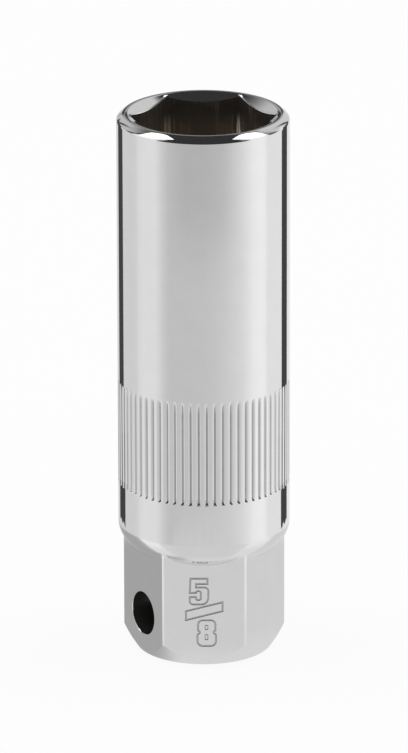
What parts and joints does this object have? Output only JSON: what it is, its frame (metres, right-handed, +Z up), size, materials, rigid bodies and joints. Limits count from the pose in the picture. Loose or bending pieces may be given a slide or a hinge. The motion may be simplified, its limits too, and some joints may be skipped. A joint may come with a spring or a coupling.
{
  "type": "spark plug socket",
  "caption": "Deep spark plug socket with a countersunk hexagon mouth, a rubber grip insert, a fluted grip band and a wrench hexagon with a square drive hole and a detent.",
  "frame": {"origin": "centre of the foot, the flat end with the square drive hole that it stands on", "axes": "+Z up the axis from the drive end to the plug end, and -Y out of the detent hole"},
  "size_m": [0.0216, 0.0216, 0.07],
  "materials": {
    "chrome": "polished chrome plate",
    "rubber": "matte moulded rubber"
  },
  "bodies": {
    "root": {"socket_body": "chrome", "rubber_insert": "rubber"}
  },
  "joints": []
}
